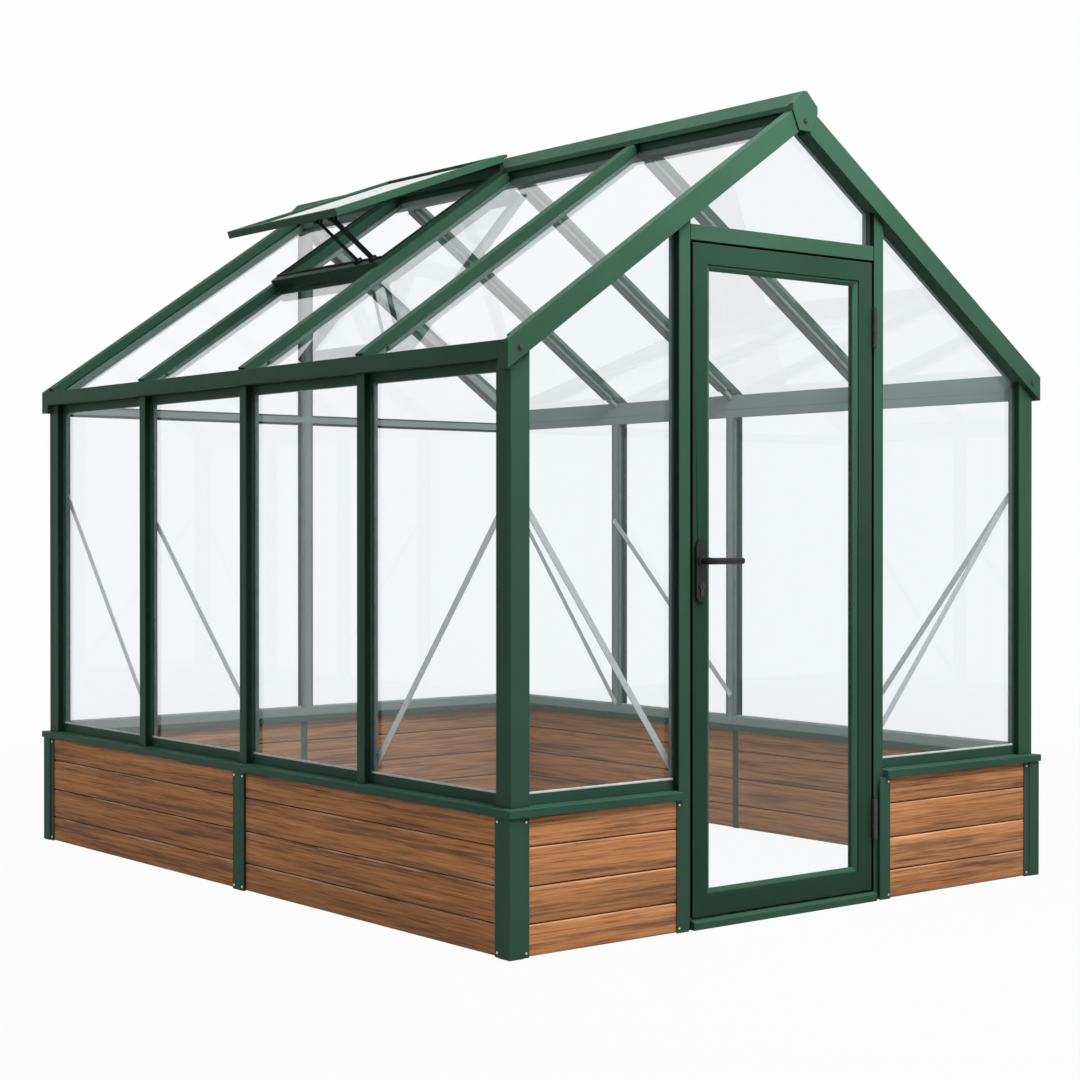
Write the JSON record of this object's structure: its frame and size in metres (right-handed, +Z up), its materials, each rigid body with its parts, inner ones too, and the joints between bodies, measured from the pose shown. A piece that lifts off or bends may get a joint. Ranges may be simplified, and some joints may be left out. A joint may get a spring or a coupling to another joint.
{
  "type": "glass greenhouse",
  "caption": "Gabled greenhouse: green metal frame with clear glass on a low boarded wall, a hinged glazed door with a lever handle in the front gable, and a roof vent propped open.",
  "frame": {"origin": "middle of the ground plan, on the ground", "axes": "+Z up, +X to the right seen from the front, +Y from the door towards the back"},
  "size_m": [2.072, 2.649, 2.272],
  "materials": {
    "frame_green": "satin powder coat",
    "door_green": "satin powder coat",
    "glass": "clear float glass",
    "wall_boards": "streaky warm brown boards",
    "brace_metal": "plain mill finish",
    "black_hardware": "satin black",
    "hinge_steel": "brushed"
  },
  "bodies": {
    "house": {"base_corner_posts": "frame_green", "base_mid_posts": "frame_green", "base_panels": "wall_boards", "sill_left": "frame_green", "sill_right": "frame_green", "sill_back": "frame_green", "sills_front": "frame_green", "corner_posts": "frame_green", "side_bars_left": "frame_green", "side_bars_right": "frame_green", "wall_rails_left": "frame_green", "wall_rails_right": "frame_green", "gable_rails": "frame_green", "back_post": "frame_green", "door_jambs": "frame_green", "door_lintel": "frame_green", "threshold": "frame_green", "gutter_left": "frame_green", "gutter_right": "frame_green", "eaves_end_caps": "frame_green", "rafter_front_left": "frame_green", "rafter_front_right": "frame_green", "rafter_back_left": "frame_green", "rafter_back_right": "frame_green", "ridge": "frame_green", "ridge_end_caps": "frame_green", "roof_bars_left": "frame_green", "roof_bars_right": "frame_green", "side_glass_left": "glass", "side_glass_right": "glass", "roof_glass_left": "glass", "roof_glass_right": "glass", "front_glass": "glass", "back_glass": "glass", "vent_sash": "frame_green", "vent_glass": "glass", "vent_curb": "frame_green", "vent_stays": "black_hardware", "braces": "brace_metal", "jamb_hinges": "hinge_steel"},
    "door": {"leaf_hinges": "hinge_steel", "door_frame": "door_green", "door_bead": "door_green", "door_glass": "glass", "handle_plates": "black_hardware", "door_lock": "hinge_steel"},
    "lever": {"door_lever": "black_hardware"}
  },
  "joints": [
    {"name": "door_hinge", "type": "hinge", "parent": "house", "child": "door", "pos_m": [0.2965, -1.295, 0], "axis": [0, 0, 1], "range_deg": [0, 110]},
    {"name": "lever_pivot", "type": "hinge", "parent": "door", "child": "lever", "pos_m": [-0.378, -1.286, 0.978], "axis": [0, 1, 0], "range_deg": [0, 45], "stiffness_Nm_per_rad": 1.5, "springref_deg": -28.65}
  ]
}
